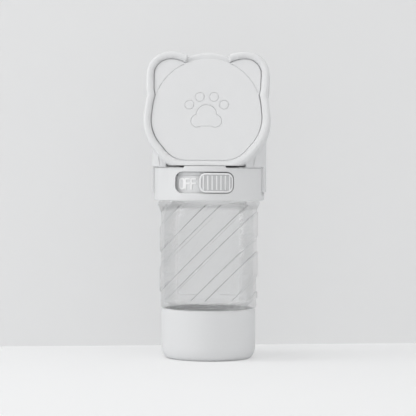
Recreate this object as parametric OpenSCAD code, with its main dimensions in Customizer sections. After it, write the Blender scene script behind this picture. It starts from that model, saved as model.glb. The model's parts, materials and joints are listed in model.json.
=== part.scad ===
// Travel water bottle for dogs: a snack cup at the foot, a clear bottle, a valve collar with an
// ON and OFF slider, and a drinking trough whose animal-eared rim is closed by a dust lid that
// presses in and is pulled out forwards by the notch in the rim.
// The front of the bottle faces -Y, the foot stands on z = 0, and the bottle's axis is the Z axis.

/* [Base cup] */
// Outer radius of the snack cup
cup_r = 31.9; // [31.5:0.1:32.4]
// Height of the snack cup
cup_h = 33.8; // [31:0.2:36]
// Wall of the snack cup
cup_wall = 2; // [1.6:0.1:2.1]
// Radius of the flat ring that the cup stands on
foot_r = 27.2; // [26:0.2:28.4]
// Height of the rounded lower edge
cup_edge_h = 8.5; // [6:0.5:10]

/* [Bottle] */
// Outer radius of the clear bottle
bottle_r = 32.5; // [32:0.1:33]
// Wall of the clear bottle
bottle_wall = 2; // [1.6:0.1:2.2]
// Height of the bottle's shoulder above the foot
shoulder_z = 106.8; // [104:0.2:108]
// How far the grip strips stand out of the wall
strip_relief = 0.8; // [0.5:0.1:1]
// Width of a grip strip, measured level
strip_w = 17.3; // [15:0.1:19]
// Distance from one grip strip to the next, measured level
strip_pitch = 27.1; // [25:0.1:29]

/* [Collar] */
// Outer radius of the valve collar
collar_r = 37.3; // [37:0.1:37.8]
// Height of the valve collar
collar_h = 22.2; // [22:0.1:22.6]
// Half of the angle that the slider's window takes up
window_half = 31.5; // [31.2:0.1:32]
// Width of the slider button along its middle
slider_w = 22.5; // [21:0.1:22.8]
// How far the slider turns from OFF to ON, in degrees
slider_turn = 26.4; // [24:0.2:26.6]

/* [Trough] */
// How far the trough's face leans back, in degrees
lean = 14; // [10:0.5:16]
// Width of the rim outside the lid's outline
rim_w = 5.5; // [4.5:0.1:6]
// Depth of the eared rim, front to back
rim_depth = 12; // [11:0.5:14]
// Outer radius of the hood behind the rim
hood_r = 38.7; // [38.4:0.1:39]
// Radius of the head circle in the lid's outline
head_r = 36.2; // [35.8:0.1:36.6]
// Radius of the top outer corner of each ear
ear_r = 10.5; // [10:0.1:11]
// Radius of the cheeks
cheek_r = 27.6; // [27.2:0.1:28]
// Radius of the lid's lower corners
chin_r = 18.3; // [17.8:0.1:18.6]

/* [Hidden] */
$fn = 96;

gap = 0.3;
fit = 0.05;

// Base cup and the bottle's plug that closes it
cup_floor = 3;
foot_rise = 0.8;
foot_ring = 3.4;
plug_r = cup_r - cup_wall - 0.4;
plug_depth = 10;
bottle_z0 = cup_h + gap;
plug_z0 = bottle_z0 - plug_depth;
groove_z = plug_z0 + 4;
groove_h = 2.4;
groove_d = 1.6;

// Bottle neck
flare_r = bottle_r + 1.9;
flare_z0 = shoulder_z - 7;
flare_z1 = shoulder_z - 1.6;
neck_r = 27.6;
neck_wall = 2.2;
mouth_z = shoulder_z + 11.2;
thread_zs = [shoulder_z + 3.2, shoulder_z + 7];

// Grip strips
strip_z0 = shoulder_z - 66.5;
strip_h = 64.2;
strip_round = 2.5;
strip_left = -108.2;
strip_count = 6;

// Collar and the parts in it, as heights above the foot
collar_z0 = shoulder_z + gap;
collar_z1 = collar_z0 + collar_h;
collar_wall = 2.4;
collar_ri = collar_r - collar_wall;
window_turn = -1;
window_z0 = collar_z0 + 5.1;
window_h = 14.2;
window_round = 4.8;
tab_half = 22;
tab_rise = 1;
tab_t = 1.4;
arm_half = 14;
arm_drop = 16.6;
arm_inset = 1;
socket_r = neck_r + 1.1;
body_wall = 2;
body_r = socket_r + body_wall;
body_z0 = collar_z0 + 0.4;
seat_z0 = mouth_z + 1.4;
seat_t = 2.2;
seat_z1 = seat_z0 + seat_t;
boss_r = 3.5;
boss_h = 6.4;
seal_t = 0.8;
seal_ri = 8;
seal_ro = 21;
rotor_z0 = seat_z1 + seal_t + 0.1;
rotor_t = 2.4;
rotor_z1 = rotor_z0 + rotor_t;
rotor_r = 26;
plate_z0 = rotor_z1 + 1.6;
plate_t = 2.4;
plate_z1 = plate_z0 + plate_t;
plate_r = collar_ri - gap;
port_r = 2.9;
port_ring = 15;
port_count = 4;
spigot_r = 20;
spigot_wall = 1.7;
spigot_h = 2.8;
screw_ring = 29.5;
screw_angles = [-15, 90, 195];
screw_r = 1.2;
screw_boss_r = 2.6;
screw_head_r = 2.4;
shoulder_r = 3;
switch_ro = collar_ri - 1;
switch_ri = body_r + 0.2;
switch_half = 37;
switch_z1 = rotor_z1 - 1;
letter_h = 7.8;
letter_w = 4.4;
letter_stroke = 1.1;
letter_z = window_z0 + 6.3;
letter_rise = 0.5;
letter_pitch = 7.2;
word_angle = 19;
shutter_z0 = switch_z1 + 0.2;
shutter_t = 2.1;
shutter_ro = collar_ri - 0.8;
shutter_half = window_half + slider_turn / 2 + 0.6;
tenon_w = 5;
tenon_t = 1.1;
tenon_in = 3;
tenon_z0 = shutter_z0 + 0.3;
slider_h = 13;
slider_ri = collar_ri - 0.2;
slider_ro = collar_r + 1.1;
slider_round = 4.3;
slider_border = 1.2;
slider_dish = 0.8;
slider_centre = slider_turn / 2 + window_turn;
rib_count = 7;
rib_pitch = 2.9;
rib_w = 1.1;

// Face of the trough: the head plane is drawn in x and v, with w out of the front
head_y = -33.5;
head_z = collar_z1 + 5;
lid_gap = 0.5;
lid_sunk = 1;
lid_t = 2;
head_v = 34.2;
chin = [12.5, chin_r, chin_r];
cheek = [9.25, cheek_r + 1.4, cheek_r];
ear_top = 70.05;
ear = [25.3, ear_top - ear_r, ear_r];
ear_side = [19.2, 51, 16.4];
shoulder_arc_r = 21;
tangent_inset = 0.02;
brow_r = 32.5;
brow_v = head_v + head_r + rim_w - brow_r;
notch_half = 14.2;
notch_depth = 4;
ledge_w = 4;
ledge_d = lid_sunk + lid_t + gap;
ledge_t = 1.6;
skirt_t = 1.4;
skirt_end = ledge_d + ledge_t + 1.4;
gasket_w = 1.2;
gasket_t = 2;
engrave_d = 0.3;
engrave_w = 0.5;
paw_v = 35;
pad_r = 7;
pad_side_r = 4.6;
toe_r = 3.3;

// Trough bowl and hood
rim_z0 = collar_z1 + tab_rise + gap;
bowl_z0 = collar_z1 + gap;
bowl_floor = rim_z0 + 1.6;
dome_z = collar_z1 + 30.7;
hood_wall = 2;
bowl_wall = 1.6;
bowl_ro = hood_r - hood_wall - gap;
bowl_ri = bowl_ro - bowl_wall;
back_plate = 1.6;
inlet_r = spigot_r + 2;
cheek_depth = 5.5;
cheek_x = 26.5;

white = "white";
silicone = "gainsboro";
steel = "silver";

// Ring about the Z axis
module ring(ri, ro, z0, z1) {
    rotate_extrude() translate([ri, z0]) square([ro - ri, z1 - z0]);
}

// Part of a ring, centred on the front of the bottle
module front_sector(ri, ro, z0, z1, half) {
    rotate([0, 0, -90 - half])
        rotate_extrude(angle = 2 * half)
            translate([ri, z0]) square([ro - ri, z1 - z0]);
}

module round_rect(w, h, r) {
    square([w - 2 * r, h], center = true);
    square([w, h - 2 * r], center = true);
    for (sx = [-1, 1], sy = [-1, 1])
        translate([sx * (w / 2 - r), sy * (h / 2 - r)]) circle(r);
}

// Stands a drawing up at the front, turned about the axis, and runs it back through the wall
module through_front(angle, z) {
    rotate([0, 0, angle])
        translate([0, 0, z])
            rotate([90, 0, 0])
                linear_extrude(height = 60) children();
}

// Places x, v and w of the trough's face in the bottle's frame
module face() {
    translate([0, head_y, head_z]) rotate([90 - lean, 0, 0]) children();
}

// Direction from which two round corners [x, v, radius] share a tangent, on the side of a larger x
function tangent(a, b) =
    let (across = [b[0] - a[0], b[1] - a[1]],
         share = (a[2] - b[2]) / norm(across),
         along = across / norm(across))
    share * along + sqrt(1 - share * share) * [along[1], -along[0]];

// Round corner a at a distance d outside its outline, with its tangent to the round corner b
module corner_to(a, b, d) {
    reach = (d - tangent_inset) * tangent(a, b);
    ca = [a[0], a[1]];
    cb = [b[0], b[1]];
    translate(ca) circle(a[2] + d);
    polygon([ca, ca + a[2] * tangent(a, b) + reach, cb + b[2] * tangent(a, b) + reach, cb]);
}

// Right ear at a distance d outside its outline, with the shoulder that falls to the forehead
module ear_shape(d) {
    corner_to(ear_side, ear, d);
    translate([ear[0], ear[1]]) circle(ear[2] + d);
    intersection() {
        translate([ear[0], ear_top - shoulder_arc_r]) circle(shoulder_arc_r + d);
        translate([ear[0] - 20, ear_top - shoulder_arc_r]) square([20, 40]);
    }
}

// Outline of the lid, or of anything that runs a distance d outside it
module eared_outline(d) {
    translate([-chin[0], -d]) square([2 * chin[0], head_v]);
    intersection() {
        translate([0, head_v]) circle(head_r + d);
        translate([-60, cheek[1] - 6]) square([120, 60]);
    }
    for (side = [0, 1])
        mirror([side, 0]) {
            corner_to(chin, cheek, d);
            corner_to(cheek, [0, head_v, head_r], d);
            ear_shape(d);
        }
}

// A slab of the face between two depths behind the rim's front
module face_slab(d, depth0, depth1) {
    face() translate([0, 0, -depth1]) linear_extrude(height = depth1 - depth0) eared_outline(d);
}

// Everything that lies at least this far behind the rim's front
module behind(depth) {
    face() translate([-60, -60, -110 - depth]) cube([120, 180, 110]);
}

module above(z) {
    translate([-60, -60, z]) cube([120, 120, 120]);
}

// Cylinder with a round top, cut to the space behind the rim
module domed(r, z0, depth) {
    steps = 14;
    arc = [for (i = [0 : steps]) [r * cos(90 * i / steps), dome_z + r * sin(90 * i / steps)]];
    intersection() {
        rotate_extrude() polygon(concat([[0, z0], [r, z0]], arc));
        behind(depth);
    }
}

module ports(r, z0, z1, turn = 0) {
    for (i = [0 : port_count - 1])
        rotate([0, 0, turn + 360 * i / port_count])
            translate([port_ring, 0, z0]) cylinder(r = r, h = z1 - z0);
}

module base_cup() {
    edge = [for (a = [0 : 10 : 90])
        [foot_r + (cup_r - foot_r) * sin(a), cup_edge_h * (1 - cos(a))]];
    inner_r = cup_r - cup_wall;
    color(white) rotate_extrude() polygon(concat(
        [[0, foot_rise], [foot_r - foot_ring - 0.8, foot_rise], [foot_r - foot_ring, 0]],
        edge,
        [[cup_r, cup_h - 0.6], [cup_r - 0.6, cup_h], [inner_r, cup_h],
         [inner_r, cup_floor + 4], [inner_r - 4, cup_floor], [0, cup_floor]]));
}

module cup_seal() {
    color(silicone)
        ring(plug_r - groove_d + 0.1, plug_r + 0.3, groove_z + 0.1, groove_z + groove_h - 0.1);
}

// Bar that leans to the right by half a right angle, w wide and h high, with corners rounded by r
module leaning_bar(w, h, r) {
    blunt = r * tan(22.5);
    pointed = r / tan(22.5);
    corners = [[w - blunt, r, -90, -45], [w + h - pointed, h - r, -45, 90],
               [h + blunt, h - r, 90, 135], [pointed, r, 135, 270]];
    polygon([for (c = corners, a = [c[2] : 15 : c[3]]) [c[0] + r * cos(a), c[1] + r * sin(a)]]);
}

// Grip strips: raised bands between planes that rise to the right, round the whole wall
module strips() {
    intersection() {
        ring(bottle_r - 0.6, bottle_r + strip_relief, strip_z0, strip_z0 + strip_h);
        translate([strip_left, 0, strip_z0])
            rotate([90, 0, 0])
                linear_extrude(height = 120, center = true)
                    for (i = [0 : strip_count - 1])
                        translate([i * strip_pitch, 0]) leaning_bar(strip_w, strip_h, strip_round);
    }
}

module bottle() {
    inner_r = bottle_r - bottle_wall;
    plug_ri = plug_r - groove_d - 1.4;
    mouth_ri = neck_r - neck_wall;
    thread = [for (z = thread_zs, p = [[0, 0], [0.8, 0.5], [0.8, 1.1], [0, 1.6]])
        [neck_r + p[0], z + p[1]]];
    color("aliceblue", 0.5) {
        rotate_extrude() polygon(concat(
            [[0, plug_z0], [plug_r - 1, plug_z0], [plug_r, plug_z0 + 1],
             [plug_r, groove_z], [plug_r - groove_d, groove_z],
             [plug_r - groove_d, groove_z + groove_h], [plug_r, groove_z + groove_h],
             [plug_r, bottle_z0], [bottle_r - 0.6, bottle_z0], [bottle_r, bottle_z0 + 0.6],
             [bottle_r, flare_z0], [flare_r, flare_z1], [flare_r, shoulder_z - 0.8],
             [flare_r - 0.8, shoulder_z], [neck_r, shoulder_z]],
            thread,
            [[neck_r, mouth_z - 0.5], [neck_r - 0.5, mouth_z], [mouth_ri, mouth_z],
             [mouth_ri, shoulder_z - 1.6], [inner_r - 1.5, shoulder_z - 4.5],
             [inner_r, flare_z0 - 2], [inner_r, bottle_z0 + 4], [plug_ri, bottle_z0 + 1.5],
             [plug_ri, plug_z0 + 2], [0, plug_z0 + 2]]));
        strips();
    }
}

module bottle_seal() {
    color(silicone) ring(neck_r - neck_wall, socket_r - 0.3, mouth_z + 0.1, seat_z0 - 0.1);
}

module collar() {
    color(white) {
        difference() {
            rotate_extrude() polygon([
                [collar_ri, collar_z0], [collar_r - 0.6, collar_z0], [collar_r, collar_z0 + 0.6],
                [collar_r, collar_z1 - 0.6], [collar_r - 0.6, collar_z1], [collar_ri, collar_z1]]);
            through_front(window_turn, window_z0 + window_h / 2)
                round_rect(2 * collar_r * sin(window_half), window_h, window_round);
            for (side = [0, 180])
                rotate([0, 0, side + 90])
                    front_sector(collar_r - arm_inset, collar_r + 5, collar_z1 - arm_drop - gap,
                                 collar_z1 + 1, arm_half + 0.6);
        }
        front_sector(collar_r - tab_t, collar_r, collar_z1 - 0.7, collar_z1 + tab_rise, tab_half);
    }
}

module valve_body() {
    color(white) difference() {
        union() {
            rotate_extrude() polygon([
                [socket_r, body_z0], [collar_ri - 0.1, body_z0],
                [collar_ri - 0.1, body_z0 + 1.6], [body_r, body_z0 + 1.6], [body_r, seat_z1],
                [0, seat_z1], [0, seat_z0 - boss_h], [boss_r, seat_z0 - boss_h],
                [boss_r, seat_z0], [socket_r, seat_z0]]);
            for (a = screw_angles)
                rotate([0, 0, a]) translate([screw_ring, 0, seat_z0])
                    cylinder(r = screw_boss_r, h = plate_z0 - seat_z0 - 0.1);
        }
        ports(port_r, seat_z0 - 1, seat_z1 + 1);
        translate([0, 0, seat_z0 - boss_h + 0.6]) cylinder(r = screw_r + fit, h = 40);
        for (a = screw_angles)
            rotate([0, 0, a]) translate([screw_ring, 0, seat_z0 + 0.6])
                cylinder(r = screw_r + fit, h = 20);
    }
}

module letter_o() {
    difference() {
        round_rect(letter_w, letter_h, 1.8);
        round_rect(letter_w - 2 * letter_stroke, letter_h - 2 * letter_stroke, 0.8);
    }
}

module letter_f() {
    translate([-letter_w / 2, -letter_h / 2]) square([letter_stroke, letter_h]);
    for (v = [-0.3, letter_h / 2 - letter_stroke])
        translate([-letter_w / 2, v]) square([letter_w * 0.9, letter_stroke]);
}

module letter_n() {
    h = letter_h / 2;
    w = letter_w / 2;
    for (s = [-1, 1])
        translate([s * (w - letter_stroke / 2), 0])
            square([letter_stroke, letter_h], center = true);
    polygon([[-w, h], [-w + 1.4, h], [w, -h], [w - 1.4, -h]]);
}

// Raised letter on the floor of the window
module raised(angle) {
    intersection() {
        ring(switch_ro - 0.4, switch_ro + letter_rise, letter_z - 6, letter_z + 6);
        through_front(angle, letter_z) children();
    }
}

module switch_plate() {
    color(white) {
        front_sector(switch_ri, switch_ro, body_z0 + 1.7, switch_z1, switch_half);
        raised(window_turn - word_angle - letter_pitch) letter_o();
        raised(window_turn - word_angle) letter_f();
        raised(window_turn - word_angle + letter_pitch) letter_f();
        raised(window_turn + word_angle - letter_pitch / 2) letter_o();
        raised(window_turn + word_angle + letter_pitch / 2) letter_n();
    }
}

module port_seal(z0, z1) {
    color(silicone) difference() {
        ring(seal_ri, seal_ro, z0, z1);
        ports(port_r + 0.3, z0 - 1, z1 + 1);
    }
}

module lower_seal() {
    port_seal(seat_z1, seat_z1 + seal_t);
}

module upper_seal() {
    port_seal(rotor_z1 + 0.1, plate_z0 - 0.1);
}

module valve_rotor() {
    color(white) difference() {
        union() {
            translate([0, 0, rotor_z0]) cylinder(r = rotor_r, h = rotor_t);
            rotate([0, 0, slider_centre])
                front_sector(rotor_r - 1.4, shutter_ro, shutter_z0, shutter_z0 + shutter_t,
                             shutter_half);
        }
        translate([0, 0, rotor_z0 - 1]) cylinder(r = shoulder_r + fit, h = rotor_t + 2);
        ports(port_r, rotor_z0 - 1, rotor_z1 + 1, slider_turn);
        rotate([0, 0, slider_centre])
            translate([-tenon_w / 2 - 0.1, -shutter_ro - 1, tenon_z0 - 0.1])
                cube([tenon_w + 0.2, tenon_in + 1.1, tenon_t + 0.2]);
    }
}

module pivot_screw() {
    top = rotor_z1 + 0.38;
    color(steel) difference() {
        rotate_extrude() polygon([
            [0, seat_z0 - boss_h + 1], [screw_r, seat_z0 - boss_h + 1], [screw_r, seat_z1 + fit],
            [shoulder_r, seat_z1 + fit], [shoulder_r, top], [4.6, top], [4.6, top + 0.7],
            [4.2, top + 1], [0, top + 1]]);
        translate([-3.2, -0.4, top + 0.5]) cube([6.4, 0.8, 2]);
    }
}

module pivot_washer() {
    color(steel) ring(shoulder_r + 0.1, 6.2, rotor_z1 + fit, rotor_z1 + 0.33);
}

module top_plate() {
    color(white) difference() {
        union() {
            translate([0, 0, plate_z0]) cylinder(r = plate_r, h = plate_t);
            ring(spigot_r - spigot_wall, spigot_r, plate_z1 - 0.5, plate_z1 + spigot_h);
        }
        ports(port_r, plate_z0 - 1, plate_z1 + 1);
        for (a = screw_angles)
            rotate([0, 0, a]) translate([screw_ring, 0, plate_z0]) {
                translate([0, 0, -1]) cylinder(r = screw_r + fit, h = 10);
                translate([0, 0, 0.8]) cylinder(r = screw_head_r + 0.3, h = 10);
            }
    }
}

module plate_screws() {
    color(steel) for (a = screw_angles)
        rotate([0, 0, a]) translate([screw_ring, 0, 0]) difference() {
            union() {
                translate([0, 0, seat_z0 + 1]) cylinder(r = screw_r, h = plate_z0 - seat_z0);
                translate([0, 0, plate_z0 + 0.85]) cylinder(r = screw_head_r, h = 1.3);
            }
            translate([-1.7, -0.3, plate_z0 + 1.6]) cube([3.4, 0.6, 2]);
        }
}

module slider_outline(inset) {
    round_rect(slider_w - 2 * inset, slider_h - 2 * inset, slider_round - inset);
}

module slider_button() {
    mid_z = window_z0 + window_h / 2 - 0.1;
    color(white) {
        difference() {
            intersection() {
                ring(slider_ri, slider_ro, window_z0 - 2, window_z0 + window_h + 2);
                through_front(slider_centre, mid_z) slider_outline(0);
            }
            intersection() {
                ring(slider_ro - slider_dish, slider_ro + 5, window_z0, window_z0 + window_h);
                through_front(slider_centre, mid_z) slider_outline(slider_border);
            }
        }
        intersection() {
            ring(slider_ro - slider_dish - 0.5, slider_ro - 0.15, window_z0, window_z0 + window_h);
            through_front(slider_centre, mid_z)
                for (i = [0 : rib_count - 1])
                    translate([(i - (rib_count - 1) / 2) * rib_pitch, 0])
                        square([rib_w, slider_h - 2 * slider_border - 1], center = true);
        }
        rotate([0, 0, slider_centre])
            translate([-tenon_w / 2, -slider_ri - 0.6, tenon_z0])
                cube([tenon_w, slider_ri + 0.6 - shutter_ro + tenon_in - 0.1, tenon_t]);
    }
}

module inlet_seal() {
    color(silicone) ring(spigot_r + 0.1, inlet_r - 0.1, bowl_z0 + 0.3, bowl_floor - 0.6);
}

// Room for the lid in the rim, with the ledge that it closes on
module lid_room() {
    difference() {
        intersection() {
            face_slab(lid_gap, -1, rim_depth - back_plate);
            above(bowl_floor);
        }
        difference() {
            face_slab(lid_gap + 0.2, ledge_d, ledge_d + ledge_t);
            face_slab(-ledge_w, ledge_d - 1, ledge_d + ledge_t + 1);
        }
    }
}

// Cheeks that carry the hood's round side on below the rim's lower corners
module bowl_cheeks() {
    intersection() {
        ring(bowl_ri, hood_r, bowl_z0, bowl_z0 + 20);
        difference() {
            behind(cheek_depth);
            behind(rim_depth);
        }
        for (s = [-1, 1])
            translate([s * (cheek_x + 20), 0, bowl_z0 + 10]) cube([40, 120, 30], center = true);
    }
}

// The notch at the top of the rim, where a finger gets behind the lid
module finger_notch() {
    face() {
        translate([-notch_half, head_v + 20, -notch_depth])
            cube([2 * notch_half, 40, notch_depth + 1]);
        translate([0, 0, -rim_depth - 1]) linear_extrude(height = rim_depth + 2) difference() {
            translate([-notch_half, head_v + 20]) square([2 * notch_half, 40]);
            translate([0, brow_v]) circle(brow_r);
        }
    }
}

module trough_bowl() {
    color(white) difference() {
        union() {
            intersection() {
                face_slab(rim_w, 0, rim_depth);
                above(rim_z0);
            }
            domed(bowl_ro, bowl_z0, rim_depth - back_plate);
            bowl_cheeks();
        }
        lid_room();
        domed(bowl_ri, bowl_floor, rim_depth - back_plate - 0.1);
        finger_notch();
        translate([0, 0, bowl_z0 - 1]) cylinder(r = inlet_r, h = 8);
    }
}

module hood() {
    color(white) {
        difference() {
            domed(hood_r, bowl_z0, rim_depth + 0.1);
            domed(hood_r - hood_wall, bowl_z0 - 1, rim_depth - 1);
        }
        for (side = [0, 180])
            rotate([0, 0, side + 90])
                front_sector(collar_r - arm_inset + gap, hood_r, collar_z1 - arm_drop,
                             bowl_z0 + 0.5, arm_half);
    }
}

// Plain paw print: a pad of three lobes under four toes
module paw_outline(inset) {
    translate([0, -3.5]) circle(pad_r - inset);
    for (s = [-1, 1]) {
        translate([s * 6, -8]) circle(pad_side_r - inset);
        translate([s * 4.8, 8.6]) circle(toe_r - inset);
        translate([s * 11.6, 3.2]) circle(toe_r - inset);
    }
    translate([-6, -8 - (pad_side_r - inset) * 0.8]) square([12, 6]);
}

// Lines cut into the lid's face: the paw print, and the head's arc through each ear
module lid_lines() {
    translate([0, paw_v]) difference() {
        paw_outline(0);
        paw_outline(engrave_w);
    }
    intersection() {
        translate([0, head_v]) difference() {
            circle(head_r);
            circle(head_r - engrave_w);
        }
        for (side = [0, 1]) mirror([side, 0]) ear_shape(-1.2);
    }
}

// A wall of the face that runs inside the lid's outline, from one distance in to another
module eared_wall(inset0, inset1, depth0, depth1) {
    difference() {
        face_slab(-inset0, depth0, depth1);
        face_slab(-inset1, depth0 - 1, depth1 + 1);
    }
}

module lid_panel() {
    skirt_in = ledge_w + gasket_w + 0.2;
    color(white) difference() {
        union() {
            face_slab(0, lid_sunk, lid_sunk + lid_t);
            eared_wall(skirt_in, skirt_in + skirt_t, lid_sunk + lid_t - 0.5, skirt_end);
        }
        face() translate([0, 0, -lid_sunk - engrave_d]) linear_extrude(height = 2) lid_lines();
    }
}

module lid_gasket() {
    d0 = lid_sunk + lid_t + 0.1;
    color(silicone) eared_wall(ledge_w + 0.1, ledge_w + 0.1 + gasket_w, d0, d0 + gasket_t);
}

base_cup();
cup_seal();
bottle();
bottle_seal();
collar();
valve_body();
switch_plate();
lower_seal();
valve_rotor();
pivot_screw();
pivot_washer();
upper_seal();
top_plate();
plate_screws();
slider_button();
inlet_seal();
trough_bowl();
hood();
lid_panel();
lid_gasket();
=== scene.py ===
"""Travel water bottle for dogs, photographed on a pale sweep in soft light from the left.

Everything is in metres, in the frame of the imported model: the foot stands on z = 0, the bottle's
axis is Z, and the lid and the slider face -Y. Lengths of the object are written in millimetres
and multiplied by MM.
"""
import json
import math

import bmesh
import bpy
from mathutils import Matrix, Vector


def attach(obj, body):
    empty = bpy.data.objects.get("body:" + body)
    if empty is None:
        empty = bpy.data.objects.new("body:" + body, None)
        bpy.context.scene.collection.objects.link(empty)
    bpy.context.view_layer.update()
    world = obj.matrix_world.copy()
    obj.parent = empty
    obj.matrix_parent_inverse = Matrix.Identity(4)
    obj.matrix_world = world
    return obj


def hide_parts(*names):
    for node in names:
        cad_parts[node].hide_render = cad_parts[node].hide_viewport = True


MM = 0.001
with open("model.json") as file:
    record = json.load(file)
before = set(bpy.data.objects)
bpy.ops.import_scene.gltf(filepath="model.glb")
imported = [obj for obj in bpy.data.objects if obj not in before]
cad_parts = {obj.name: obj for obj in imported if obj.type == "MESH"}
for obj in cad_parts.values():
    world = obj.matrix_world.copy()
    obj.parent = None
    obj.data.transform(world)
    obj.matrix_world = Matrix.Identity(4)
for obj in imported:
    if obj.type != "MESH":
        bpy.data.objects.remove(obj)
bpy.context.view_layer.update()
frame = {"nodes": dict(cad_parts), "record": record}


# Camera

IMAGE = 416
MM_PER_PIXEL = 0.68
CAMERA_DISTANCE = 1260 * MM
CAMERA_AZIMUTH = 4.8
CAMERA_ROLL = 0.34
EYE_HEIGHT = 132.3 * MM
EYE_LEVEL_PIXEL = 163
AXIS_PIXEL = 209.05
SENSOR = 36


def place_camera():
    azimuth = math.radians(CAMERA_AZIMUTH)
    right = Vector((math.cos(azimuth), math.sin(azimuth), 0))
    back = Vector((math.sin(azimuth), -math.cos(azimuth), 0))
    eye = back * CAMERA_DISTANCE + Vector((0, 0, EYE_HEIGHT))
    drop = (IMAGE / 2 - EYE_LEVEL_PIXEL) * MM_PER_PIXEL * MM
    aim = Vector((0, 0, EYE_HEIGHT - drop))
    aside = right * (IMAGE / 2 - AXIS_PIXEL) * MM_PER_PIXEL * MM
    camera = bpy.data.objects.new("camera", bpy.data.cameras.new("camera"))
    bpy.context.scene.collection.objects.link(camera)
    camera.data.sensor_width = SENSOR
    camera.data.lens = SENSOR * CAMERA_DISTANCE / (IMAGE * MM_PER_PIXEL * MM)
    camera.data.clip_start = 0.01
    camera.location = eye + aside
    look = (aim - eye).to_track_quat("-Z", "Y").to_matrix()
    turn = Matrix.Rotation(math.radians(CAMERA_ROLL), 3, "Z")
    camera.rotation_euler = (look @ turn).to_euler()
    bpy.context.scene.camera = camera


# Shader maths


class Value:
    """A shader output that can be used in arithmetic with numbers and other outputs."""

    def __init__(self, shader, socket):
        self.shader = shader
        self.socket = socket

    def _math(self, operation, first, second):
        node = self.shader.node("ShaderNodeMath", {"operation": operation}, {0: first, 1: second})
        return node[0]

    def __add__(self, other):
        return self._math("ADD", self, other)

    __radd__ = __add__

    def __mul__(self, other):
        return self._math("MULTIPLY", self, other)

    __rmul__ = __mul__

    def __sub__(self, other):
        return self._math("SUBTRACT", self, other)

    def __gt__(self, other):
        return self._math("GREATER_THAN", self, other)

    def __lt__(self, other):
        return self._math("LESS_THAN", self, other)

    def modulo(self, other):
        return self._math("FLOORED_MODULO", self, other)

    def near_zero(self, reach):
        return self._math("LESS_THAN", self._math("ABSOLUTE", self, 0), reach)


class Shader:
    """A new material's node tree."""

    def __init__(self, name):
        self.material = bpy.data.materials.new(name)
        self.material.use_nodes = True
        self.tree = self.material.node_tree
        self.tree.nodes.clear()

    def node(self, kind, settings=None, values=None):
        made = self.tree.nodes.new(kind)
        for key, value in (settings or {}).items():
            setattr(made, key, value)
        for key, value in (values or {}).items():
            socket = made.inputs[key]
            if isinstance(value, Value):
                self.tree.links.new(value.socket, socket)
            else:
                socket.default_value = value
        return [Value(self, socket) for socket in made.outputs]

    def place(self):
        return self.node("ShaderNodeTexCoord")[3]

    def noise(self, scale, detail=2.0, roughness=0.5):
        values = {"Vector": self.place(), "Scale": scale, "Detail": detail, "Roughness": roughness}
        return self.node("ShaderNodeTexNoise", None, values)[0]

    def mix(self, factor, first, second):
        values = {0: factor, 6: first, 7: second}
        return self.node("ShaderNodeMix", {"data_type": "RGBA"}, values)[2]

    def bump(self, height, distance, strength=1.0):
        values = {"Strength": strength, "Distance": distance, "Height": height}
        return self.node("ShaderNodeBump", None, values)[0]

    def surface(self, value):
        self.node("ShaderNodeOutputMaterial", None, {"Surface": value})
        return self.material


# Grip strips: bands that rise to the right by half a right angle as seen from the front

STRIP_FOOT_Z = 40.3
STRIP_TOP_Z = 104.5
STRIP_WIDTH = 17.3
STRIP_PITCH = 27.1
STRIP_LEFT = -108.2


# Finishes of the bottle

WHITE_LIGHT = (0.80, 0.805, 0.81, 1)
WHITE_DARK = (0.775, 0.78, 0.787, 1)
# Painted highlight: the switch plate's raised letters get this lighter tone beyond LETTER_BASE_R.
LETTER_HIGHLIGHT = (0.97, 0.97, 0.97, 1)
LETTER_BASE_R = 34.15
# Painted light on the slider: shade in the grooves within GROOVE_R, a highlight on the rib tops beyond
# it.
GROOVE_SHADE = (0.66, 0.665, 0.67, 1)
RIB_HIGHLIGHT = (0.88, 0.885, 0.89, 1)
GROOVE_R = 38.0
SILICONE_LIGHT = (0.72, 0.73, 0.74, 1)
SILICONE_DARK = (0.66, 0.67, 0.68, 1)
STEEL_LIGHT = (0.72, 0.72, 0.73, 1)
STEEL_DARK = (0.55, 0.56, 0.58, 1)
CLEAR_LIGHT = (0.985, 0.99, 0.99, 1)
CLEAR_DARK = (0.97, 0.975, 0.98, 1)
# Painted shade: a grey tint, made more opaque, along the slanted edges of the front strips, standing in
# for the dark refraction there.
PAINTED_FOLD_SHADE = (0.45, 0.46, 0.46, 1)
CLEAR_BODY = 0.1
CLEAR_EDGE = 0.35
PAINTED_FOLD_SHADE_BODY = 0.6
FOLD_HALF = 0.35


def beyond(shader, radius):
    """1 where the surface is farther than this from the bottle's axis, and 0 elsewhere."""
    x, y, _ = shader.node("ShaderNodeSeparateXYZ", None, {"Vector": shader.place()})
    return x * x + y * y > (radius * MM) ** 2


def white_plastic(name="white_plastic", inner=None, outer=None, border=None):
    """Moulded plastic with a satin grain; a border is a radius where its tone changes, which paints a
    highlight on raised letters and ribs and shade in the grooves between ribs.
    """
    shader = Shader(name)
    cloud = shader.noise(28)
    grain = shader.noise(2600, 1)
    if border:
        colour = shader.mix(beyond(shader, border), inner, outer)
    else:
        colour = shader.mix(cloud, WHITE_LIGHT, WHITE_DARK)
    values = {
        "Base Color": colour,
        "Roughness": 0.42 + cloud * 0.1,
        "Normal": shader.bump(grain, 0.02 * MM),
    }
    return shader.surface(shader.node("ShaderNodeBsdfPrincipled", None, values)[0])


def silicone():
    """Soft matt seals."""
    shader = Shader("silicone")
    cloud = shader.noise(60)
    values = {
        "Base Color": shader.mix(cloud, SILICONE_LIGHT, SILICONE_DARK),
        "Roughness": 0.6 + cloud * 0.15,
    }
    return shader.surface(shader.node("ShaderNodeBsdfPrincipled", None, values)[0])


def steel():
    """Bright screws and washer."""
    shader = Shader("steel")
    cloud = shader.noise(900, 3)
    values = {
        "Base Color": shader.mix(cloud, STEEL_LIGHT, STEEL_DARK),
        "Metallic": 1.0,
        "Roughness": 0.25 + cloud * 0.15,
    }
    return shader.surface(shader.node("ShaderNodeBsdfPrincipled", None, values)[0])


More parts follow.
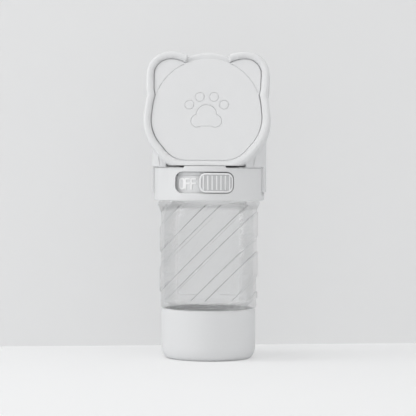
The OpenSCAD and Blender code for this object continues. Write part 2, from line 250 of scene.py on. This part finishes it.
def painted_fold_shade(shader):
    """1 along the slanted edges of the front's strips, where the wall gets painted shade, or else 0."""
    x, y, z = shader.node("ShaderNodeSeparateXYZ", None, {"Vector": shader.place()})
    along = (x - z - (STRIP_LEFT - STRIP_FOOT_Z) * MM).modulo(STRIP_PITCH * MM)
    folds = 0
    for edge in (0, STRIP_WIDTH, STRIP_PITCH):
        folds = folds + (along - edge * MM).near_zero(FOLD_HALF * MM)
    return folds * (z > STRIP_FOOT_Z * MM) * (z < STRIP_TOP_Z * MM) * (y < 0)


def clear_plastic():
    """Clear moulded plastic, very slightly uneven, more solid where it is seen edgewise, with painted
    shade along the front strips' edges.
    """
    shader = Shader("clear_plastic")
    cloud = shader.noise(45)
    edge = shader.node("ShaderNodeLayerWeight", None, {"Blend": 0.5})[1]
    folds = painted_fold_shade(shader)
    values = {
        "Base Color": shader.mix(folds, shader.mix(cloud, CLEAR_LIGHT, CLEAR_DARK), PAINTED_FOLD_SHADE),
        "Roughness": cloud * 0.04,
        "Transmission Weight": 1.0,
        "IOR": 1.45,
        "Alpha": CLEAR_BODY + edge * CLEAR_EDGE + folds * PAINTED_FOLD_SHADE_BODY,
    }
    return shader.surface(shader.node("ShaderNodeBsdfPrincipled", None, values)[0])


FINISHES = {
    "white_plastic": white_plastic(),
    "letters_highlight_plastic": white_plastic("letters_painted_highlight", WHITE_LIGHT, LETTER_HIGHLIGHT, LETTER_BASE_R),
    "ribbed_light_plastic": white_plastic("ribbed_painted_light", GROOVE_SHADE, RIB_HIGHLIGHT, GROOVE_R),
    "silicone": silicone(),
    "steel": steel(),
    "clear_plastic": clear_plastic(),
}


def paint(thing, finish):
    thing.data.materials.clear()
    thing.data.materials.append(FINISHES[finish])
    for face in thing.data.polygons:
        face.material_index = 0


for part in frame["record"]["subparts"]:
    paint(frame["nodes"][part["node"]], part["material_slot"])
# The switch plate gets a painted highlight on its raised letters.
paint(frame["nodes"]["switch_plate"], "letters_highlight_plastic")


# Meshes

SHARP = math.radians(32)


def smooth(mesh):
    """Smooth shading that keeps the real edges, with the flats left flat."""
    mesh.polygons.foreach_set("use_smooth", [True] * len(mesh.polygons))
    mesh.set_sharp_from_angle(angle=SHARP)


def flat_first(thing):
    """Flats rule the shading, so that a rounded edge doesn't darken the flat beside it."""
    modifier = thing.modifiers.new("flats", "WEIGHTED_NORMAL")
    modifier.keep_sharp = True
    modifier.weight = 100


def add_piece(name, mesh, body, nodes, finish):
    thing = bpy.data.objects.new(name, mesh)
    bpy.context.scene.collection.objects.link(thing)
    paint(thing, finish)
    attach(thing, body)
    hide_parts(*nodes)
    return thing


def outward(mesh):
    """Turns the faces of a closed mesh outwards."""
    work = bmesh.new()
    work.from_mesh(mesh)
    bmesh.ops.recalc_face_normals(work, faces=work.faces)
    work.to_mesh(mesh)
    work.free()


ARC_STEP = 12
NEARLY_STRAIGHT = math.radians(179)


def rounded(corners):
    """A closed outline from corners (x, y, radius), with an arc of that radius in each corner."""
    points = []
    count = len(corners)
    for i in range(count):
        here = Vector(corners[i][:2])
        before = Vector(corners[i - 1][:2]) - here
        after = Vector(corners[(i + 1) % count][:2]) - here
        radius = corners[i][2]
        turn = before.angle(after, math.pi)
        if radius <= 0 or turn > NEARLY_STRAIGHT:
            points.append(here)
            continue
        reach = radius / math.tan(turn / 2)
        start = here + before.normalized() * reach
        end = here + after.normalized() * reach
        bisector = (before.normalized() + after.normalized()).normalized()
        middle = here + bisector * radius / math.sin(turn / 2)
        sweep = math.pi - turn
        steps = max(1, round(math.degrees(sweep) / ARC_STEP))
        for k in range(steps + 1):
            share = math.sin((1 - k / steps) * sweep), math.sin(k / steps * sweep)
            arm = (start - middle) * share[0] + (end - middle) * share[1]
            points.append(middle + arm / math.sin(sweep))
    return [(point.x, point.y) for point in points]


def turned(name, profile, columns, place):
    """A solid turned about Z from a closed profile of (radius, height) in millimetres.

    place(column, row, radius, height) gives the angle and the radius of a point.
    """
    points = []
    rings = []
    for row, (radius, height) in enumerate(profile):
        start = len(points)
        if radius < 1e-6:
            points.append((0, 0, height * MM))
            rings.append([start] * columns)
            continue
        for k in range(columns):
            angle, spread = place(k, row, radius, height)
            x = spread * math.cos(angle)
            y = spread * math.sin(angle)
            points.append((x * MM, y * MM, height * MM))
        rings.append(list(range(start, start + columns)))
    faces = []
    for i in range(len(rings)):
        low, high = rings[i], rings[(i + 1) % len(rings)]
        for k in range(columns):
            after = (k + 1) % columns
            corners = [low[k], low[after], high[after], high[k]]
            face = [c for n, c in enumerate(corners) if c != corners[n - 1]]
            if len(face) > 2:
                faces.append(face)
    mesh = bpy.data.meshes.new(name)
    mesh.from_pydata(points, [], faces)
    outward(mesh)
    smooth(mesh)
    return mesh


# The eared outline, measured on the trough's face

LEAN = math.radians(14)
HEAD_Y = -33.5
HEAD_Z = 134.3
HEAD = (0, 34.2, 36.2)
CHIN = (12.5, 18.3, 18.3)
CHEEK = (9.25, 29, 27.6)
EAR = (25.3, 59.55, 10.5)
EAR_SIDE = (19.2, 51, 16.4)
SHOULDER = (25.3, 49.05, 21)
HEAD_END = -0.3
RIM_WIDTH = 5.5
NOTCH_HALF = 14.2
NOTCH_DEPTH = 4
BROW_R = 32.5
OUTLINE_POINTS = 540
CORNER_BLEND = 0.12


def arc_hit(corner, spread, side, up):
    """Distance from the head's centre, along a direction, to a round corner grown by spread."""
    x, v, radius = corner
    v -= HEAD[1]
    ahead = x * side + v * up
    room = ahead * ahead - x * x - v * v + (radius + spread) ** 2
    return ahead + math.sqrt(room) if room >= 0 else 0


def tangent_hit(first, second, spread, side, up):
    """Distance to the common tangent of two round corners, or 0 where the direction misses it."""
    across = Vector(second[:2]) - Vector(first[:2])
    along = across.normalized()
    share = (first[2] - second[2]) / across.length
    normal = along * share + Vector((along.y, -along.x)) * math.sqrt(1 - share * share)
    centre = Vector((0, HEAD[1]))
    facing = normal.x * side + normal.y * up
    if facing <= 0:
        return 0
    start = Vector(first[:2]) + normal * (first[2] + spread)
    end = Vector(second[:2]) + normal * (second[2] + spread)
    hit = (start - centre).dot(normal) / facing
    place = (centre + Vector((side, up)) * hit - start).dot(end - start)
    return hit if 0 <= place <= (end - start).length_squared else 0


def reach(angle, spread):
    """Distance from the head's centre, at an angle, to the lid's outline grown by spread."""
    side, up = abs(math.cos(angle)), math.sin(angle)
    hits = [arc_hit(corner, spread, side, up) for corner in (CHIN, CHEEK, EAR, EAR_SIDE)]
    pairs = ((CHIN, CHEEK), (CHEEK, HEAD), (EAR_SIDE, EAR))
    hits += [tangent_hit(first, second, spread, side, up) for first, second in pairs]
    if up > HEAD_END:
        hits.append(HEAD[2] + spread)
    shoulder = arc_hit(SHOULDER, spread, side, up)
    if up > 0 and shoulder * side < SHOULDER[0]:
        hits.append(shoulder)
    if up < 0 and (HEAD[1] + spread) / -up * side < CHIN[0]:
        hits.append((HEAD[1] + spread) / -up)
    far = max(hits)
    return far + CORNER_BLEND * math.log(sum(math.exp((hit - far) / CORNER_BLEND) for hit in hits))


def face_point(x, v, depth):
    y = HEAD_Y + v * math.sin(LEAN) + depth * math.cos(LEAN)
    z = HEAD_Z + v * math.cos(LEAN) - depth * math.sin(LEAN)
    return x * MM, y * MM, z * MM


def lofted(name, points, count):
    """A closed mesh through sections that follow each other, each of count points."""
    sections = len(points) // count
    faces = [list(range(count)), list(range(len(points) - count, len(points)))[::-1]]
    for i in range(sections - 1):
        low = i * count
        high = low + count
        for k in range(count):
            after = (k + 1) % count
            faces.append((low + k, high + k, high + after, low + after))
    mesh = bpy.data.meshes.new(name)
    mesh.from_pydata(points, [], faces)
    outward(mesh)
    return mesh


def eared_solid(name, sections):
    """A solid whose sections are eared outlines, each (spread, depth) in millimetres."""
    points = []
    count = OUTLINE_POINTS
    for spread, depth in sections:
        for k in range(count):
            angle = 2 * math.pi * (k + 0.5) / count
            far = reach(angle, spread)
            points.append(face_point(far * math.cos(angle), HEAD[1] + far * math.sin(angle), depth))
    return lofted(name, points, count)


def carved(mesh, tool, how="DIFFERENCE"):
    """The mesh with another cut away from it, joined to it, or the part inside both."""
    scene = bpy.context.scene
    blank = bpy.data.objects.new("blank", mesh)
    cutter = bpy.data.objects.new("cutter", tool)
    scene.collection.objects.link(blank)
    scene.collection.objects.link(cutter)
    cut = blank.modifiers.new("cut", "BOOLEAN")
    cut.object = cutter
    cut.operation = how
    cut.solver = "EXACT"
    shaped = bpy.data.meshes.new_from_object(blank.evaluated_get(bpy.context.evaluated_depsgraph_get()))
    bpy.data.objects.remove(blank)
    bpy.data.objects.remove(cutter)
    return shaped


# Moulded pieces: the CAD's solid with its edges rounded

EDGE_TURN = math.radians(25)
SAME_POINT = 0.002 * MM
COPLANAR = math.radians(0.4)


def solid_copy(node):
    mesh = frame["nodes"][node].data.copy()
    mesh.name = "moulded_" + node
    work = bmesh.new()
    work.from_mesh(mesh)
    bmesh.ops.remove_doubles(work, verts=work.verts, dist=SAME_POINT)
    work.to_mesh(mesh)
    work.free()
    return mesh


RIM_ROUND = 2.0
BROW_ROUND = 2.2


def brow_cutter():
    """The sliver that rounds the top edge of the rim where the finger notch sinks it."""
    steps = 24
    front = NOTCH_DEPTH - 1
    brow_v = HEAD[1] + HEAD[2] + RIM_WIDTH - BROW_R
    inner = BROW_R - BROW_ROUND
    arc = [math.radians(angle) for angle in range(0, 91, 10)]
    sunk = NOTCH_DEPTH + BROW_ROUND
    section = [(inner + BROW_ROUND * math.sin(a), sunk - BROW_ROUND * math.cos(a)) for a in arc]
    section += [(BROW_R + 1, sunk), (BROW_R + 1, front), (inner, front)]
    points = []
    for k in range(steps + 1):
        x = NOTCH_HALF * (2 * k / steps - 1)
        points += [face_point(x, brow_v + math.sqrt(r * r - x * x), depth) for r, depth in section]
    return lofted("brow_cutter", points, len(section))


def rim_sections():
    """Sections of the space that the rim's rounded front leaves, from in front of it to behind it."""
    radius = RIM_ROUND
    middle = (RIM_WIDTH - radius, radius)
    arc = [math.radians(angle) for angle in range(0, 73, 8)]
    curve = [(middle[0] + radius * math.sin(a), middle[1] - radius * math.cos(a)) for a in arc]
    front = [(curve[0][0] - 1, -0.01)]
    rounding = [(spread, depth - 0.001) for spread, depth in curve]
    return front + rounding + [(9, 3.6), (60, 5), (60, 90)]


def lid_sections():
    """Sections of the space round the lid, which round its front edge."""
    rounding = [(-0.62, 0.98), (-0.5, 1.0), (-0.3, 1.05), (-0.14, 1.15), (-0.05, 1.3)]
    return rounding + [(0.3, 1.7), (3, 3), (3, 9)]


def moulded(node, mesh, body):
    """Puts a rounded mesh in place of a CAD node of white plastic."""
    mesh.name = "moulded_" + node
    smooth(mesh)
    piece = add_piece("moulded_" + node, mesh, body, [node], "white_plastic")
    flat_first(piece)
    return piece


def shaped(node, body, sections, cutters=()):
    """A CAD node cut to the space that its rounded edges leave."""
    mesh = carved(solid_copy(node), eared_solid("room", sections), "INTERSECT")
    for cutter in cutters:
        mesh = carved(mesh, cutter)
    return moulded(node, mesh, body)


def soften(node, body, rules):
    """A copy of a CAD node whose edges are rounded. A rule is (test of a corner, radius, steps)."""
    mesh = solid_copy(node)
    work = bmesh.new()
    work.from_mesh(mesh)
    bmesh.ops.dissolve_limit(work, angle_limit=COPLANAR, verts=work.verts, edges=work.edges)
    for test, radius, steps in rules:
        folds = [edge for edge in work.edges if edge.is_manifold]
        sharp = [edge for edge in folds if edge.calc_face_angle() > EDGE_TURN]
        chosen = [edge for edge in sharp if all(test(corner.co) for corner in edge.verts)]
        bmesh.ops.bevel(
            work,
            geom=chosen,
            offset=radius * MM,
            offset_type="OFFSET",
            segments=steps,
            profile=0.5,
            affect="EDGES",
            clamp_overlap=False,
            miter_outer="SHARP",
        )
    work.to_mesh(mesh)
    work.free()
    return moulded(node, mesh, body)


COLLAR_R = 37.3
COLLAR_TOP_Z = 129.3
SLIDER_R = 38.4
HOOD_R = 38.7
NEAR = 0.1
WINDOW_HALF = 21
WINDOW_LOW_Z = 111
WINDOW_HIGH_Z = 127.4
TAB_LOW_Z = COLLAR_TOP_Z + 0.9
ARM_HIGH_Z = COLLAR_TOP_Z + 0.5


def from_axis(point):
    return math.hypot(point.x, point.y) / MM


def window_edge(point):
    inside = abs(point.x) < WINDOW_HALF * MM and WINDOW_LOW_Z < point.z / MM < WINDOW_HIGH_Z
    return point.y < 0 and inside and abs(from_axis(point) - COLLAR_R) < NEAR


def tab_top(point):
    return point.z > TAB_LOW_Z * MM


def arm_edge(point):
    return from_axis(point) > HOOD_R - NEAR and point.z < ARM_HIGH_Z * MM


def slider_edge(point):
    return from_axis(point) > SLIDER_R - NEAR


shaped("trough_bowl", "trough", rim_sections(), [brow_cutter()])
shaped("lid_panel", "lid", lid_sections())
soften("collar", "collar", [(window_edge, 0.5, 3), (tab_top, 0.4, 3)])
soften("hood", "trough", [(arm_edge, 0.5, 3)])
slider = soften("slider_button", "switch", [(slider_edge, 0.4, 3)])
# The slider gets painted shade in its grooves and a painted highlight on its ribs.
paint(slider, "ribbed_light_plastic")


# Clear bottle with its grip strips

BOTTLE_R = 32.5
SHOULDER_Z = 106.8
MOUTH_Z = 118
STRIP_RELIEF = 0.8
STRIP_ROUND = 2.5
STRIP_EDGE = 0.8
WALL_COLUMNS = 600
ROW_STEP = 0.4


def strip_depth(x, height):
    """How far inside a strip's rounded outline, as seen from the front, a point of the wall lies."""
    rise = height - STRIP_FOOT_Z
    along = (x - STRIP_LEFT - rise) % STRIP_PITCH
    side = min(along, STRIP_WIDTH - along) * math.sqrt(0.5)
    end = min(rise, STRIP_TOP_Z - height)
    narrow = (along < STRIP_WIDTH / 2) == (rise < STRIP_TOP_Z - height)
    cosine = math.sqrt(0.5) * (-1 if narrow else 1)
    a = STRIP_ROUND - side
    b = STRIP_ROUND - end
    if a - b * cosine <= 0 or b - a * cosine <= 0:
        return min(side, end)
    return STRIP_ROUND - math.sqrt((a * a + b * b - 2 * a * b * cosine) / (1 - cosine * cosine))


def strip_relief(turn, height):
    depth = strip_depth(BOTTLE_R * math.sin(turn), height)
    share = min(max(depth / STRIP_EDGE, 0), 1)
    return STRIP_RELIEF * math.sqrt(1 - (1 - share) ** 2)


def bottle_mesh():
    """The bottle as one solid: its outside from the plug up to the mouth, then its inside."""

    def place(column, row, radius, height):
        turn = 2 * math.pi * column / WALL_COLUMNS
        if first_row <= row < first_row + len(rows):
            radius += strip_relief(turn, height)
        return turn - math.pi / 2, radius

    count = round((STRIP_TOP_Z - STRIP_FOOT_Z) / ROW_STEP)
    rows = [STRIP_FOOT_Z + (STRIP_TOP_Z - STRIP_FOOT_Z) * k / count for k in range(count + 1)]
    flare = [(99.8, 0), (105.3, 1.9)]

    def wall_radius(height):
        if height <= flare[0][0]:
            return BOTTLE_R
        share = min((height - flare[0][0]) / (flare[1][0] - flare[0][0]), 1)
        return BOTTLE_R + flare[1][1] * share * share * (3 - 2 * share)

    below = rounded([(0, 24.1, 0), (29.5, 24.1, 1), (29.5, 28.1, 0.3), (27.9, 28.1, 0.3),
                     (27.9, 30.5, 0.3), (29.5, 30.5, 0.3), (29.5, 34.1, 0.3), (BOTTLE_R, 34.1, 0.9),
                     (BOTTLE_R, 40, 0)])
    wall = [(wall_radius(height), height) for height in rows]
    first_row = len(below)
    above = rounded([(0, 0, 0), (34.4, 104.9, 0), (34.4, SHOULDER_Z, 0.9), (27.6, SHOULDER_Z, 0.8),
                     (27.6, 110, 0.2), (28.4, 110.5, 0.3), (28.4, 111.1, 0.3), (27.6, 111.6, 0.2),
                     (27.6, 113.8, 0.2), (28.4, 114.3, 0.3), (28.4, 114.9, 0.3), (27.6, 115.4, 0.2),
                     (27.6, MOUTH_Z, 0.5), (25.4, MOUTH_Z, 0.5), (25.4, 105.2, 3), (29.3, 102.3, 3),
                     (30.5, 96, 4), (30.5, 38.5, 3), (26.5, 35.6, 3), (26.5, 26.1, 2.5), (0, 26.1, 0)])
    return turned("bottle_wall", below + wall + above[1:], WALL_COLUMNS, place)


add_piece("clear_bottle", bottle_mesh(), "bottle", ["bottle"], "clear_plastic")


# Sweep and light

WALL_TURN = 12.9
WALL_HEIGHT = 2
SWEEP_WIDTH = 3
STAGE_GLOW = 0.3
WORLD_STRENGTH = 0.78
LIGHT_AIM = (0, 0, 0.1)
WALL_POINT = Vector((-7.3, 86.7, 0)) * MM
FLOOR_COLOUR = (0.86, 0.865, 0.87, 1)
WALL_COLOUR = (0.76, 0.765, 0.77, 1)


def stage_material(name, colour):
    """Matt paper that takes the object's shadow, lifted a little where the camera sees it.

    Its back is clear, so that the object can also be seen from behind the wall.
    """
    shader = Shader(name)
    seen = shader.node("ShaderNodeLightPath")[0] * STAGE_GLOW
    matt = shader.node("ShaderNodeBsdfDiffuse", None, {"Color": colour})[0]
    light = shader.node("ShaderNodeEmission", None, {"Color": (1, 1, 1, 1), "Strength": 1.0})[0]
    front = shader.node("ShaderNodeMixShader", None, {0: seen, 1: matt, 2: light})[0]
    behind = shader.node("ShaderNodeNewGeometry")[6]
    clear = shader.node("ShaderNodeBsdfTransparent")[0]
    sheet = shader.node("ShaderNodeMixShader", None, {0: behind, 1: front, 2: clear})[0]
    return shader.surface(sheet)


def flat_sheet(name, corners, material):
    mesh = bpy.data.meshes.new(name)
    mesh.from_pydata([tuple(corner) for corner in corners], [], [(0, 1, 2, 3)])
    sheet = bpy.data.objects.new(name, mesh)
    bpy.context.scene.collection.objects.link(sheet)
    sheet.data.materials.append(material)


def set_stage():
    turn = math.radians(WALL_TURN)
    along = Vector((math.cos(turn), math.sin(turn), 0))
    ahead = Vector((math.sin(turn), -math.cos(turn), 0))
    up = Vector((0, 0, 1))
    left = WALL_POINT - along * SWEEP_WIDTH / 2
    right = WALL_POINT + along * SWEEP_WIDTH / 2
    floor = [left, left + ahead * SWEEP_WIDTH, right + ahead * SWEEP_WIDTH, right]
    wall = [left, right, right + up * WALL_HEIGHT, left + up * WALL_HEIGHT]
    flat_sheet("floor", floor, stage_material("floor", FLOOR_COLOUR))
    flat_sheet("wall", wall, stage_material("wall", WALL_COLOUR))


def area_light(name, place, size, power):
    """A square lamp aimed at the middle of the bottle."""
    data = bpy.data.lights.new(name, "AREA")
    data.shape = "SQUARE"
    data.size = size
    data.energy = power
    lamp = bpy.data.objects.new(name, data)
    lamp.location = place
    aim = Vector(LIGHT_AIM) - Vector(place)
    lamp.rotation_euler = aim.to_track_quat("-Z", "Y").to_euler()
    bpy.context.scene.collection.objects.link(lamp)


def set_light():
    world = bpy.data.worlds.new("room")
    world.use_nodes = True
    background = world.node_tree.nodes["Background"]
    background.inputs["Color"].default_value = (1, 1, 1, 1)
    background.inputs["Strength"].default_value = WORLD_STRENGTH
    bpy.context.scene.world = world
    area_light("window", (-1.35, -0.3, 0.75), 0.8, 8.5)
    area_light("ceiling", (-0.2, -0.1, 1.4), 0.9, 3.5)


place_camera()
set_stage()
set_light()
bpy.context.scene.view_settings.view_transform = "Standard"
